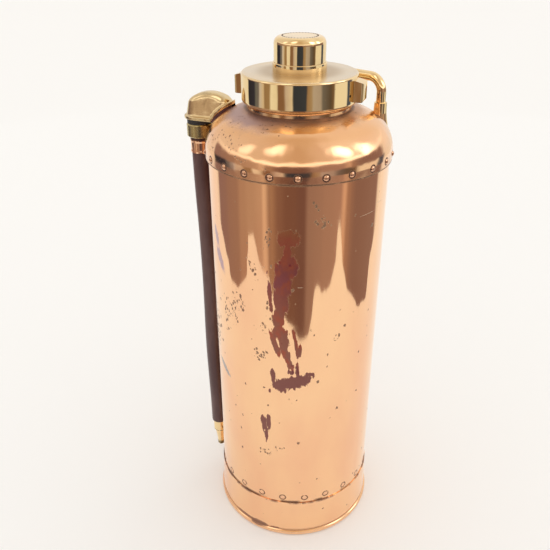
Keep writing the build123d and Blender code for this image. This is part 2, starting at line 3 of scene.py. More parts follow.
import bmesh
import bpy
from mathutils import Matrix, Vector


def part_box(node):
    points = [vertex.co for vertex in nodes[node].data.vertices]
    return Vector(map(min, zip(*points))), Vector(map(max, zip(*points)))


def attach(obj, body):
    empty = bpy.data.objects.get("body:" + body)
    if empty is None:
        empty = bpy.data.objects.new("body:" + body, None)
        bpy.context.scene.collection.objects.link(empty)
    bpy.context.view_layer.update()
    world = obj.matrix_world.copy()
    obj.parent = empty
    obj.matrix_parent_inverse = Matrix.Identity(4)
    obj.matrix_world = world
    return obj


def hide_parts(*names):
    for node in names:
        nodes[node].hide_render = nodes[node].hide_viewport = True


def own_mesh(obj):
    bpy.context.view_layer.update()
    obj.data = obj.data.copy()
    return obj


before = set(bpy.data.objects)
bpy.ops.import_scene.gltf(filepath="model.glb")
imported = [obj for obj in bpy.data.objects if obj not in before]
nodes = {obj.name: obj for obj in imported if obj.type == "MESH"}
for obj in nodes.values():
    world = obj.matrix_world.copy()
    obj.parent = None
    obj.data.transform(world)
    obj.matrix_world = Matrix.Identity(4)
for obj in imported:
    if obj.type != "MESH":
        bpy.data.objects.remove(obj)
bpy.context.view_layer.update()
scene = bpy.context.scene
scene.view_settings.view_transform = "Standard"

# Azimuths are in degrees about the tank's axis, from +X towards +Y. Heights and radii that a
# material uses are in millimetres, and everything else is in metres.
BODY_R = 89.0
SKIRT_TOP = 51.4
DOME_FOOT = 442.0
FRONT = -72.2  # azimuth of the camera

CAMERA_PLACE = (0.1845, -0.5756, 0.6388)
CAMERA_AZIMUTH, CAMERA_TILT, CAMERA_ROLL = 20, 60.74, -0.23


# ---------------------------------------------------------------- camera and hose

def make_camera():
    """The camera stands in front, a little to the right, and looks down at the tank."""
    data = bpy.data.cameras.new("camera")
    data.sensor_width = 36.0
    data.lens = 41.47
    data.shift_y = 0.006
    camera = bpy.data.objects.new("camera", data)
    scene.collection.objects.link(camera)
    turn = Matrix.Rotation(math.radians(CAMERA_AZIMUTH), 4, "Z")
    tilt = Matrix.Rotation(math.radians(CAMERA_TILT), 4, "X")
    roll = Matrix.Rotation(math.radians(CAMERA_ROLL), 4, "Z")
    camera.matrix_world = Matrix.Translation(CAMERA_PLACE) @ turn @ tilt @ roll
    scene.camera = camera


HOSE_ROUTE = [
    (-0.1057, 0.0, 0.446), (-0.1057, 0.0, 0.404), (-0.1042, 0.0012, 0.336), (-0.1037, 0.0008, 0.27),
    (-0.1046, -0.0006, 0.194), (-0.1036, -0.0005, 0.136), (-0.103, 0.0, 0.104), (-0.103, 0.0, 0.071),
]
HOSE_R = 0.0098


def make_hose(rubber):
    """The hose hangs from its tail in one long, nearly straight line."""
    curve = bpy.data.curves.new("hose_skin", "CURVE")
    curve.dimensions = "3D"
    spline = curve.splines.new("NURBS")
    spline.points.add(len(HOSE_ROUTE) - 1)
    for point, place in zip(spline.points, HOSE_ROUTE):
        point.co = (*place, 1)
    spline.order_u = 3
    spline.use_endpoint_u = True
    curve.resolution_u = 12
    curve.bevel_depth = HOSE_R
    curve.bevel_resolution = 12
    curve.use_fill_caps = True
    piece = bpy.data.objects.new("hose_skin", curve)
    scene.collection.objects.link(piece)
    curve.materials.append(rubber)
    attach(piece, "shell")
    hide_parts("hose")


# ---------------------------------------------------------------- shader helpers

class Shader:
    """Short ways to add and join the nodes of one node tree."""

    def __init__(self, tree):
        self.tree = tree
        self.place = None
        self.turn = None

    def add(self, kind, **settings):
        node = self.tree.nodes.new(kind)
        for key, value in settings.items():
            setattr(node, key, value)
        return node

    def join(self, value, socket):
        """Links a socket, or sets a plain value."""
        if isinstance(value, bpy.types.NodeSocket):
            self.tree.links.new(value, socket)
        else:
            socket.default_value = value

    def math(self, operation, a, b=0.0):
        node = self.add("ShaderNodeMath", operation=operation)
        self.join(a, node.inputs[0])
        self.join(b, node.inputs[1])
        return node.outputs[0]

    def plus(self, a, b):
        return self.math("ADD", a, b)

    def minus(self, a, b):
        return self.math("SUBTRACT", a, b)

    def most(self, *values):
        """The largest of several values."""
        result = values[0]
        for value in values[1:]:
            result = self.math("MAXIMUM", result, value)
        return result

    def times(self, *values):
        result = values[0]
        for value in values[1:]:
            result = self.math("MULTIPLY", result, value)
        return result

    def length(self, u, v):
        """The length of the flat vector (u, v)."""
        return self.math("SQRT", self.plus(self.times(u, u), self.times(v, v)))

    def swing(self, noise, amount):
        """Noise turned into a shift of up to half the amount either way."""
        return self.times(self.minus(noise, 0.5), amount)

    def ramp(self, value, low, high, to_low=0.0, to_high=1.0):
        """A smooth step of value from low to high."""
        node = self.add("ShaderNodeMapRange", interpolation_type="SMOOTHSTEP")
        for key, number in enumerate((value, low, high, to_low, to_high)):
            self.join(number, node.inputs[key])
        return node.outputs[0]

    def mix(self, factor, a, b, blend="MIX"):
        """Mixes two colours, each a socket or (r, g, b)."""
        node = self.add("ShaderNodeMix", data_type="RGBA", blend_type=blend)
        self.join(factor, node.inputs[0])
        for key, colour in ((6, a), (7, b)):  # the mix node's two colour sockets
            self.join((*colour, 1) if isinstance(colour, tuple) else colour, node.inputs[key])
        return node.outputs[2]

    def grey(self, value):
        """The colour whose red, green and blue are all one value."""
        node = self.add("ShaderNodeCombineColor")
        for key in range(3):
            self.join(value, node.inputs[key])
        return node.outputs[0]

    def colours(self, value, low, high, stops, smooth=False):
        """A colour for each value between low and high. Stops are (value, colour)."""
        spread = self.add("ShaderNodeMapRange")
        for key, number in enumerate((value, low, high)):
            self.join(number, spread.inputs[key])
        node = self.add("ShaderNodeValToRGB")
        self.join(spread.outputs[0], node.inputs[0])
        ramp = node.color_ramp
        ramp.interpolation = "EASE" if smooth else "LINEAR"
        while len(ramp.elements) > 1:
            ramp.elements.remove(ramp.elements[-1])
        for i, (place, colour) in enumerate(stops):
            position = (place - low) / (high - low)
            element = ramp.elements[0] if i == 0 else ramp.elements.new(position)
            element.position = position
            element.color = (*colour, 1)
        return node.outputs[0]

    def coords(self):
        """Places in the row frame at rest, in metres."""
        if self.place is None:
            self.place = self.add("ShaderNodeTexCoord").outputs["Object"]
        return self.place

    def noise(self, scale, detail=2.0, rough=0.5, stretch=(1, 1, 1), seed=0.0):
        """Noise about 1/scale metres wide, squeezed by stretch along each axis."""
        squeezed = self.add("ShaderNodeVectorMath", operation="MULTIPLY")
        self.join(self.coords(), squeezed.inputs[0])
        squeezed.inputs[1].default_value = stretch
        node = self.add("ShaderNodeTexNoise", noise_dimensions="4D")
        self.join(squeezed.outputs[0], node.inputs["Vector"])
        for key, number in (("Scale", scale), ("Detail", detail), ("Roughness", rough), ("W", seed)):
            node.inputs[key].default_value = number
        return node.outputs[0]

    def round_coords(self):
        """Azimuth in degrees, height and distance from the tank's axis in millimetres."""
        if self.turn is None:
            split = self.add("ShaderNodeSeparateXYZ")
            self.join(self.coords(), split.inputs[0])
            x, y, z = split.outputs
            azimuth = self.times(self.math("ARCTAN2", y, x), 180 / math.pi)
            height = self.times(z, 1000.0)
            self.turn = (azimuth, height, self.times(self.length(x, y), 1000.0))
        return self.turn

    def patches(self, places):
        """How far inside the nearest of some ellipses on the tank's side a point is: 1 at a
        centre, 0 at an edge. Places are (azimuth, height, half width, half height, lean)."""
        azimuth, height, _ = self.round_coords()
        inside = []
        for at, level, half_w, half_h, lean in places:
            rise = self.minus(height, level)
            along = self.times(self.minus(azimuth, at), BODY_R * math.pi / 180)
            along = self.plus(along, self.times(rise, lean))
            reach = self.length(self.times(along, 1 / half_w), self.times(rise, 1 / half_h))
            inside.append(self.minus(1.0, reach))
        join_width = 0.25  # how softly neighbours run together
        result = inside[0]
        for value in inside[1:]:
            node = self.add("ShaderNodeMath", operation="SMOOTH_MAX")
            for key, number in enumerate((result, value, join_width)):
                self.join(number, node.inputs[key])
            result = node.outputs[0]
        return result

    def spots(self, scale, size, density, stretch=(1, 1, 1), seed=0.0):
        """Irregular specks: one in some of the cells, 1/scale metres wide, that fill the space.
        Density is the share of the cells that hold one, and size a speck's reach in cells."""
        wobble = self.noise(scale * 2.2, 2, 0.6, (1, 1, 1), seed)
        wobble_reach = 0.9 / scale
        squeezed = self.add("ShaderNodeVectorMath", operation="MULTIPLY_ADD")
        self.join(self.coords(), squeezed.inputs[0])
        squeezed.inputs[1].default_value = stretch
        self.join(self.times(wobble, wobble_reach), squeezed.inputs[2])
        node = self.add("ShaderNodeTexVoronoi", voronoi_dimensions="4D", feature="F1")
        self.join(squeezed.outputs[0], node.inputs["Vector"])
        node.inputs["Scale"].default_value = scale
        node.inputs["W"].default_value = seed
        split = self.add("ShaderNodeSeparateColor")
        self.join(node.outputs["Color"], split.inputs[0])
        chosen = self.math("LESS_THAN", split.outputs[0], density)
        reach = self.plus(self.times(split.outputs[1], size * 0.7), size * 0.5)
        inside = self.math("DIVIDE", node.outputs["Distance"], reach)
        return self.times(chosen, self.ramp(inside, 1.0, 0.72))

    def rivet_rings(self, count, start, level, radius, inner, outer):
        """A mask with a ring round each rivet of a row, between two distances from its middle."""
        azimuth, height, _ = self.round_coords()
        step = 360 / count
        turns = self.times(self.minus(azimuth, start), 1 / step)
        offset = self.minus(turns, self.math("ROUND", turns))
        u = self.times(offset, step * radius * math.pi / 180)
        v = self.minus(height, level)
        reach = self.length(u, v)
        return self.times(self.ramp(reach, inner - 0.4, inner), self.ramp(reach, outer, outer - 0.8))


def new_material(name):
    """A new material, the helper for its nodes and its shader."""
    material = bpy.data.materials.new(name)
    material.use_nodes = True
    return material, Shader(material.node_tree), material.node_tree.nodes["Principled BSDF"]


def bump(s, shader, height, distance):
    """Adds relief, in metres, on top of any the shader already has."""
    node = s.add("ShaderNodeBump")
    node.inputs["Distance"].default_value = distance
    s.join(height, node.inputs["Height"])
    normal = shader.inputs["Normal"]
    if normal.is_linked:
        s.join(normal.links[0].from_socket, node.inputs["Normal"])
    s.tree.links.new(node.outputs[0], normal)


# ---------------------------------------------------------------- stage

WHITE = (0.93, 0.90, 0.86)
CREAM = (0.93, 0.89, 0.80)
# What the tank's upper half mirrors: (azimuth from the front in degrees, colour)
ROOM = [
    (-180, WHITE), (-121, WHITE), (-117, (0.30, 0.21, 0.22)), (-84, (0.36, 0.25, 0.22)),
    (-76, (0.46, 0.33, 0.27)), (-60, (0.50, 0.37, 0.30)), (-46, (0.56, 0.42, 0.34)),
    (-42, (0.78, 0.62, 0.50)), (-38, (0.36, 0.25, 0.20)), (-30, (0.40, 0.27, 0.20)),
    (-24, (0.26, 0.16, 0.13)), (-12, (0.21, 0.12, 0.10)), (8, (0.19, 0.11, 0.10)),
    (14, (0.34, 0.24, 0.22)), (38, (0.40, 0.28, 0.25)), (54, (0.43, 0.30, 0.27)),
    (59, (0.72, 0.52, 0.42)), (63, (0.40, 0.26, 0.21)), (78, (0.27, 0.18, 0.17)),
    (115, (0.30, 0.21, 0.20)), (121, WHITE), (180, WHITE),
]
# What the cap and the knob mirror, sharper and with more contrast
STRIPES = [
    (-180, CREAM), (-119, CREAM), (-116, (0.03, 0.03, 0.05)), (-97, (0.04, 0.04, 0.07)),
    (-93, (0.16, 0.17, 0.2)), (-86, (0.18, 0.17, 0.2)), (-82, (0.62, 0.6, 0.66)),
    (-72, (0.7, 0.6, 0.5)), (-69, (0.34, 0.23, 0.14)), (-60, (0.36, 0.25, 0.15)), (-56, CREAM),
    (-44, (0.85, 0.8, 0.68)), (-41, (0.25, 0.14, 0.09)), (-30, (0.27, 0.16, 0.1)),
    (-26, (0.6, 0.52, 0.5)), (-14, (0.75, 0.68, 0.6)), (-11, (0.04, 0.05, 0.08)),
    (13, (0.05, 0.06, 0.09)), (16, (0.36, 0.24, 0.15)), (24, (0.42, 0.32, 0.22)),
    (28, (0.5, 0.45, 0.45)), (42, (0.45, 0.4, 0.4)), (46, (0.18, 0.17, 0.18)),
    (62, (0.12, 0.09, 0.07)), (70, (0.2, 0.13, 0.08)), (74, CREAM), (104, CREAM),
    (108, (0.08, 0.1, 0.16)), (120, (0.1, 0.12, 0.2)), (124, CREAM), (180, CREAM),
]
# What they mirror above the room
CEILING = [
    (-180, (0.98, 0.93, 0.88)), (-120, (0.84, 0.77, 0.72)), (-45, (0.78, 0.66, 0.54)),
    (0, (0.66, 0.50, 0.35)), (35, (0.80, 0.67, 0.54)), (75, (1.02, 0.95, 0.88)),
    (180, (0.98, 0.93, 0.88)),
]
ZENITH = (0.74, 0.61, 0.47)
PLAIN = (1.005, 0.98, 0.937)
# Soft lamps: azimuth from the front, elevation, half width, half height (degrees), power
LAMPS = [
    (-78, 35, 9, 13, 0.8), (-36, 55, 15, 17, 1.2), (63, 38, 12, 14, 2.4), (94, 26, 9, 13, 2.2),
    (8, 16, 100, 5, 0.9),
]


def make_world():
    """Plain white for the eye. Metal mirrors a dim room in front, stripes, a ceiling and lamps."""
    world = bpy.data.worlds.new("studio")
    scene.world = world
    world.use_nodes = True
    world.node_tree.nodes.clear()
    s = Shader(world.node_tree)
    split = s.add("ShaderNodeSeparateXYZ")
    s.join(s.add("ShaderNodeTexCoord").outputs["Generated"], split.inputs[0])
    x, y, z = split.outputs
    c, d = math.cos(math.radians(FRONT)), math.sin(math.radians(FRONT))
    along = s.plus(s.times(x, c), s.times(y, d))
    across = s.minus(s.times(y, c), s.times(x, d))
    azimuth = s.times(s.math("ARCTAN2", across, along), 180 / math.pi)
    elevation = s.times(s.math("ARCSINE", z), 180 / math.pi)

    room = s.colours(azimuth, -180, 180, ROOM, True)
    stripes = s.colours(azimuth, -180, 180, STRIPES)
    striped = s.times(s.ramp(elevation, -18.5, -16.5), s.ramp(elevation, -4.5, -7.5))
    low = s.mix(striped, room, stripes)
    ceiling = s.colours(azimuth, -180, 180, CEILING, True)
    upper = s.mix(s.ramp(elevation, 60, 88), ceiling, ZENITH)
    for lamp_azimuth, lamp_elevation, half_wide, half_tall, power in LAMPS:
        wide = s.times(s.minus(azimuth, lamp_azimuth), 1 / half_wide)
        tall = s.times(s.minus(elevation, lamp_elevation), 1 / half_tall)
        glow = s.times(s.ramp(s.length(wide, tall), 1.5, 0.4), power)
        upper = s.mix(1.0, upper, s.grey(glow), "ADD")
    behind = s.times(s.ramp(s.math("ABSOLUTE", azimuth), 121, 128), s.ramp(elevation, -4, 4))
    lit = s.mix(s.most(s.ramp(elevation, 9, 14), behind), low, upper)
    seen = s.add("ShaderNodeLightPath")
    colour = s.mix(seen.outputs["Is Glossy Ray"], PLAIN, lit)
    background = s.add("ShaderNodeBackground")
    s.join(colour, background.inputs[0])
    s.join(background.outputs[0], s.add("ShaderNodeOutputWorld").inputs[0])


# How far the pale floor that metal mirrors reaches: (azimuth from the front, metres)
FLOOR_REACH = [
    (-180, 2.0), (-124, 2.0), (-118, 0.95), (-107, 0.82), (-95, 0.67), (-80, 0.63), (-67, 0.69),
    (-60, 0.89), (-55, 0.91), (-48, 0.78), (-33, 0.68), (-25, 0.62), (-10, 0.555), (5, 0.50),
    (16, 0.51), (20, 0.57), (23, 0.69), (32, 0.65), (42, 0.68), (48, 0.78), (50, 0.98), (53, 0.98),
    (57, 0.78), (65, 0.66), (85, 0.565), (103, 0.575), (106, 0.74), (119, 0.95), (124, 2.0), (180, 2.0),
]


def between(table, value):
    """The value of a table of (place, value) at a place, along straight lines."""
    for (a, low), (b, high) in zip(table, table[1:]):
        if a <= value <= b:
            return low + (high - low) * (value - a) / (b - a)


def make_floor():
    """One sheet fills the view. A smaller one, seen only by metal, is the part it mirrors."""
    side, sink = 9.0, -0.0005
    corners = [(-side, -side, sink), (side, -side, sink), (side, side, sink), (-side, side, sink)]
    rim = []
    steps = 240
    for step in range(steps):
        azimuth = -180 + 360 * step / steps
        reach = between(FLOOR_REACH, azimuth)
        turn = math.radians(azimuth + FRONT)
        rim.append((reach * math.cos(turn), reach * math.sin(turn), 0.0))
    for name, ring, mirrored in (("floor", corners, False), ("floor_mirrored", rim, True)):
        mesh = bpy.data.meshes.new(name)
        mesh.from_pydata(ring, [], [tuple(range(len(ring)))])
        material, _, shader = new_material(name)
        shader.inputs["Base Color"].default_value = (0.945, 0.942, 0.94, 1)
        shader.inputs["Roughness"].default_value = 0.9
        shader.inputs["Emission Color"].default_value = (1.0, 0.98, 0.95, 1)
        shader.inputs["Emission Strength"].default_value = 0.07 if mirrored else 0.02
        mesh.materials.append(material)
        sheet = bpy.data.objects.new(name, mesh)
        scene.collection.objects.link(sheet)
        sheet.visible_glossy = mirrored
        sheet.visible_camera = not mirrored
        sheet.visible_diffuse = not mirrored
        sheet.visible_shadow = not mirrored


# ---------------------------------------------------------------- materials

COPPER = (0.95, 0.60, 0.345)
COPPER_RED = (0.90, 0.52, 0.31)
COPPER_AMBER = (0.85, 0.47, 0.21)
COPPER_BARE = (0.98, 0.74, 0.52)
DIRT = (0.10, 0.045, 0.03)
BRASS = (0.90, 0.69, 0.38)


def copper_base(name):
    """Old polished copper: faint colour changes, a soft waviness and buffing lines."""
    material, s, shader = new_material(name)
    colour = s.mix(s.ramp(s.noise(14, 3, 0.5, (1, 1, 0.45)), 0.38, 0.68), COPPER, COPPER_RED)
    haze = s.ramp(s.noise(45, 4, 0.6, (1, 1, 0.6), 3.0), 0.5, 0.8)
    rough = s.plus(s.times(haze, 0.07), 0.055)
    bump(s, shader, s.noise(11, 2, 0.4, (1, 1, 0.4)), 0.0009)
    bump(s, shader, s.noise(900, 2, 0.6, (0.25, 0.25, 1)), 0.0000035)
    return material, s, shader, colour, rough


def lay(s, state, mask, colour, rough, metal):
    """Lays a stain over a state, which is (colour, roughness, metallic)."""
    now_colour, now_rough, now_metal = state

    def blend(a, b):
        gap = s.minus(b, a)
        return s.plus(a, s.times(mask, gap))

    return s.mix(mask, now_colour, colour), blend(now_rough, rough), blend(now_metal, metal)


def finish_copper(s, shader, state):
    """Gives the shader the state that its stains have left."""
    s.join(state[0], shader.inputs["Base Color"])
    s.join(state[1], shader.inputs["Roughness"])
    s.join(state[2], shader.inputs["Metallic"])


# Stains on the tank, from ellipses: (azimuth, height, half width, half height, lean). The lean is
# how far a stain shifts to the left for each millimetre up. Those on the sides that the photo
# doesn't show are guessed.
RESIDUE = [
    (-77.5, 390, 12, 10, 0), (-77.8, 377, 4.5, 9, 0), (-78, 361, 11, 15, -0.15), (-80.5, 342, 9, 16, 0.1),
    (-82, 324, 8, 20, 0.1), (-83, 304, 6.5, 16, 0), (-82.5, 288, 9.5, 10, 0), (-85.5, 273, 3.5, 17, 0.3),
    (-78.5, 264, 4.6, 25, 0.3), (-80, 278, 6, 12, 0.2),
]
TRICKLES = [
    (-72, 274, 2.2, 20, 0.15), (-69.5, 266, 2.2, 9, 0), (-88.5, 326, 2.6, 24, 0.1),
    (-70.5, 246, 1.6, 8, 0.1),
]
CRESCENT = [
    (-79, 224, 14, 10, -0.1), (-72, 228, 13, 8.5, -0.1), (-65.5, 231, 8, 5.5, -0.1),
    (-87, 233, 2.8, 12, 0.1),
]
CRUMBS = [(-75, 240, 4, 3, 0), (-71, 240, 2, 7, 0), (-63, 237, 5, 3, 0), (-89, 213, 2, 3, 0)]
DASHES = [(-94, 166, 3.4, 13, 0.1), (-90.4, 168, 2.8, 12, 0), (-92, 153, 1.8, 14, 0)]
SPECKLED = [
    (-122, 296, 13, 15, 0.25), (-113, 312, 9, 12, 0.3), (-125, 276, 6, 12, 0),
    (-100, 355, 4.5, 17, 0.45), (-93, 290, 3.5, 8, 0), (-96, 257, 9, 9, 0), (-89, 312, 4, 16, 0),
    (-82, 135, 6, 6, 0), (-93, 124, 8, 6, 0), (-44, 279, 4.5, 6, -0.5), (-57, 404, 8, 8, 0.3),
    (-62.5, 424, 2.5, 7, 0.6), (-90, 388, 4, 14, -0.2),
    (-150, 260, 24, 34, 0), (60, 300, 22, 34, 0.3), (150, 180, 26, 24, 0), (20, 120, 18, 24, 0),
]
DOTS = [(-29.5, 238, 2, 30, 0.12), (-105, 330, 16, 60, 0), (-60, 60, 60, 5, 0), (-100, 200, 40, 40, 0)]
SMEARS = [(-132.5, 213, 8, 9, 1.3), (-178, 162, 5, 18, 0.4), (95, 350, 5, 20, 0.5)]
VIOLET = [(-131, 348, 7, 16, 0.5), (-135, 370, 4.5, 13, 0.3), (110, 240, 9, 26, 0)]
SCRATCHES = [
    (-26, 404, 14, 0.5, -0.5), (-12, 410, 9, 0.45, -0.6), (-70, 340, 4, 0.5, -0.1),
    (40, 380, 18, 0.5, 0.4),
]
CRUST = [
    (240, (0.20, 0.055, 0.045)), (300, (0.20, 0.042, 0.030)), (325, (0.21, 0.030, 0.030)),
    (345, (0.19, 0.018, 0.045)), (362, (0.18, 0.014, 0.032)), (378, (0.27, 0.030, 0.018)),
    (405, (0.27, 0.075, 0.018)),
]


def tank_material():
    """The tank's side: residue, stains, speckles and the dark seams at both ends."""
    material, s, shader, colour, rough = copper_base("tank_copper")
    _, height, _ = s.round_coords()
    state = (colour, rough, 1.0)
    cloud = s.noise(90, 4, 0.65, (1, 1, 0.6), 1.0)
    teeth = s.noise(380, 3, 0.6, (1, 1, 0.22), 2.0)
    edges = s.plus(s.swing(cloud, 1.3), s.swing(teeth, 1.0))

    def ragged(places, amount, soft):
        """Patches with ragged edges."""
        return s.ramp(s.plus(s.patches(places), s.times(edges, amount)), 0.02, soft)

    state = lay(s, state, s.times(ragged(VIOLET, 0.8, 0.4), 0.75), (0.33, 0.23, 0.34), 0.2, 0.85)
    state = lay(s, state, s.times(ragged(SMEARS, 0.4, 0.4), 0.8), (0.27, 0.29, 0.31), 0.3, 0.5)

    near = s.times(s.ramp(s.patches(SPECKLED), -0.25, 0.6), 0.65)
    specks = s.spots(400, 0.72, s.most(near, 0.006), (1, 1, 0.75), 8.0)
    dots = s.spots(210, 0.28, s.times(s.ramp(s.patches(DOTS), -0.1, 0.5), 0.3), (1, 1, 1), 3.0)
    marks = s.most(specks, dots)
    state = lay(s, state, s.times(marks, 0.78), DIRT, 0.5, 0.3)

    residue = s.most(ragged(RESIDUE, 1.0, 0.14), ragged(TRICKLES, 1.6, 0.2))
    crust = s.colours(height, CRUST[0][0], CRUST[-1][0], CRUST, True)
    ruddy = s.mix(s.ramp(s.noise(60, 3, 0.6, (1, 1, 0.7), 6.0), 0.47, 0.62), crust, (0.28, 0.03, 0.015))
    state = lay(s, state, s.times(residue, 0.9), ruddy, 0.32, 0.5)
    lower = s.most(ragged(CRESCENT, 1.3, 0.16), ragged(CRUMBS, 3.2, 0.3), ragged(DASHES, 2.2, 0.25))
    state = lay(s, state, s.times(lower, 0.93), (0.165, 0.038, 0.040), 0.42, 0.35)

    worn = s.noise(38, 3, 0.6, (1, 1, 0.2), 9.0)
    seam = s.times(s.ramp(height, SKIRT_TOP + 4.2, SKIRT_TOP + 1.2), s.ramp(worn, 0.47, 0.57))
    rings = s.rivet_rings(count=22, start=-63.8, level=59.0, radius=BODY_R, inner=2.6, outer=4.6)
    rings = s.times(rings, s.ramp(s.noise(240, 2), 0.33, 0.45))
    lip = s.times(s.ramp(height, DOME_FOOT - 2.4, DOME_FOOT - 0.4), s.ramp(worn, 0.3, 0.55))
    state = lay(s, state, s.times(s.most(seam, rings, lip), 0.88), (0.13, 0.055, 0.03), 0.5, 0.4)

    scratches = s.ramp(s.patches(SCRATCHES), 0.0, 0.5)
    state = lay(s, state, scratches, COPPER_BARE, 0.35, 1.0)
    finish_copper(s, shader, state)
    bump(s, shader, s.most(s.times(s.most(residue, lower), 0.3), marks), 0.00005)
    return material


DOME_PITS = [
    (-128, 477, 16, 10, 0), (-116, 470, 12, 10, 0.4), (-106, 460, 7, 6, 0), (-135, 466, 12, 9, 0),
    (-98, 484, 9, 5, 0), (-80, 485, 3, 2, 0), (-92, 455, 5, 4, 0), (140, 470, 24, 12, 0),
]


def dome_material():
    """The dome: tarnish round the neck, pits to the left and dirt along its riveted edge."""
    material, s, shader, colour, rough = copper_base("dome_copper")
    azimuth, height, out = s.round_coords()
    crown = s.times(s.ramp(out, 86, 76), 0.5)
    colour = s.mix(crown, colour, COPPER_AMBER)
    state = (colour, s.plus(rough, 0.07), 1.0)
    cloud = s.noise(60, 4, 0.6, (1, 1, 1), 1.0)
    left = s.ramp(s.math("ABSOLUTE", s.plus(azimuth, 135)), 75, 20)
    edge = s.plus(s.minus(out, s.times(left, 8.0)), s.swing(cloud, 18.0))
    dusk = s.mix(left, (0.55, 0.34, 0.22), (0.40, 0.27, 0.27))
    state = lay(s, state, s.times(s.ramp(edge, 71.0, 54.0), 0.9), dusk, 0.42, 0.85)
    grime = s.times(s.ramp(out, 53.5, 51.0), 0.85)
    state = lay(s, state, grime, (0.16, 0.085, 0.07), 0.4, 0.6)
    near = s.times(s.ramp(s.patches(DOME_PITS), -0.4, 0.6), 0.45)
    pits = s.spots(460, 0.55, s.most(near, 0.004), (1, 1, 1), 4.0)
    state = lay(s, state, s.times(pits, 0.75), (0.20, 0.09, 0.05), 0.45, 0.5)
    band = s.times(s.ramp(height, 455, 447), s.ramp(s.noise(30, 3, 0.6), 0.35, 0.65))
    state = lay(s, state, s.times(band, 0.8), (0.66, 0.38, 0.23), 0.16, 1.0)
    rings = s.rivet_rings(count=23, start=-72.3, level=448.0, radius=91.1, inner=2.4, outer=4.3)
    lip = s.times(s.ramp(height, DOME_FOOT + 1.6, DOME_FOOT + 0.4), 0.9)
    worn = s.ramp(s.noise(110, 3, 0.6, (1, 1, 1), 2.0), 0.25, 0.5)
    state = lay(s, state, s.times(s.most(rings, lip), worn), (0.10, 0.04, 0.025), 0.45, 0.5)
    finish_copper(s, shader, state)
    bump(s, shader, s.noise(30, 2, 0.5, (1, 1, 1), 7.0), 0.0015)
    bump(s, shader, s.minus(1.0, pits), 0.00015)
    return material


def skirt_material():
    """The foot's skirt: a dark seam at the top, painted shade in the groove above the rolled bead, and
    patches of grime there.
    """
    material, s, shader, colour, rough = copper_base("skirt_copper")
    _, height, _ = s.round_coords()
    state = (colour, rough, 1.0)
    worn = s.noise(46, 4, 0.65, (1, 1, 0.3), 3.0)
    top = s.times(s.ramp(height, SKIRT_TOP - 3, SKIRT_TOP - 0.5), s.ramp(worn, 0.46, 0.56))
    # Painted shade: the groove above the bead is darkened evenly all round.
    groove = s.times(s.ramp(height, 10.0, 7.4), s.ramp(height, 5.6, 6.6), 0.5)
    field = s.patches([(-112, 9, 20, 2.6, 0), (-99, 8, 16, 4.2, 0), (-86, 8, 8, 2.2, 0)])
    stain = s.ramp(s.plus(field, s.swing(worn, 1.6)), 0.02, 0.3)
    specks = s.spots(300, 0.42, 0.014, (1, 1, 1), 4.0)
    # The seam, the groove's painted shade, the grime patches and the specks share one dark colour.
    dirt_and_shade = s.times(s.most(top, groove, stain, specks), 0.8)
    state = lay(s, state, dirt_and_shade, (0.16, 0.065, 0.05), 0.45, 0.45)
    finish_copper(s, shader, state)
    return material


def metal_material(name, colour, roughness, wave, grain, tarnish=0.4, dark=0.5):
    """Brass, cast or turned: soft waves, fine grain and tarnish that gathers in patches."""
    material, s, shader = new_material(name)
    patch = s.times(s.ramp(s.noise(55, 4, 0.65), 0.48, 0.72), tarnish)
    shade = tuple(c * dark for c in colour)
    base = s.mix(patch, colour, shade)
    pits = s.ramp(s.noise(620, 2, 0.5, (1, 1, 1), 2.0), 0.76, 0.79)
    base = s.mix(s.times(pits, 0.6), base, (0.12, 0.08, 0.04))
    s.join(base, shader.inputs["Base Color"])
    shader.inputs["Metallic"].default_value = 1.0
    uneven = s.times(s.noise(200, 3), roughness * 0.7)
    s.join(s.plus(uneven, roughness * 0.65), shader.inputs["Roughness"])
    bump(s, shader, s.noise(50, 2), wave)
    bump(s, shader, s.noise(1300, 3), grain)
    return material


def cap_material():
    """Polished brass with small dings. Its flat top is rougher and matt, painted paler and greyer as a
    reflection of the pale ceiling, and darker brown towards the knob.
    """
    material, s, shader = new_material("cap_brass")
    _, height, out = s.round_coords()
    patch = s.times(s.ramp(s.noise(48, 4, 0.6), 0.5, 0.75), 0.3)
    base = s.mix(patch, BRASS, (0.70, 0.48, 0.24))
    flat = s.times(s.ramp(height, 518.6, 519.6), s.ramp(height, 523, 521))
    top = s.times(flat, s.ramp(out, 54.6, 52.5))
    # Painted reflection: the top's pale grey colour stands in for the ceiling it mirrors. It turns darker
    # brown towards the knob.
    top_painted_reflection = s.mix(s.ramp(s.noise(26, 4, 0.6), 0.35, 0.7), (0.72, 0.64, 0.52), (0.74, 0.61, 0.42))
    near_knob = s.times(s.ramp(out, 47, 30), 0.9)
    top_painted_reflection = s.mix(near_knob, top_painted_reflection, (0.42, 0.30, 0.165))
    base = s.mix(s.times(top, 0.9), base, top_painted_reflection)
    dings = s.ramp(s.noise(260, 2, 0.5, (1, 1, 1), 3.0), 0.745, 0.77)
    base = s.mix(s.times(dings, 0.5), base, (0.2, 0.14, 0.07))
    s.join(base, shader.inputs["Base Color"])
    shader.inputs["Metallic"].default_value = 1.0
    polish = s.plus(s.times(s.noise(160, 3), 0.03), 0.02)
    s.join(s.plus(polish, s.times(top, 0.26)), shader.inputs["Roughness"])
    bump(s, shader, s.noise(34, 2, 0.5, (1, 1, 0.5)), 0.0006)
    bump(s, shader, s.minus(1.0, dings), 0.00006)
    return material


def plain_material(name, colour, roughness, metallic=0.0):
    """A mottled stuff with a fine grain, for the small and the hidden pieces."""
    material, s, shader = new_material(name)
    shade = tuple(c * 0.7 for c in colour)
    s.join(s.mix(s.ramp(s.noise(300, 3), 0.35, 0.7), colour, shade), shader.inputs["Base Color"])
    shader.inputs["Metallic"].default_value = metallic
    uneven = s.ramp(s.noise(500, 2), 0.2, 0.8, roughness * 0.8, roughness * 1.2)
    s.join(uneven, shader.inputs["Roughness"])
    bump(s, shader, s.noise(2000, 2), 0.00003)
    return material


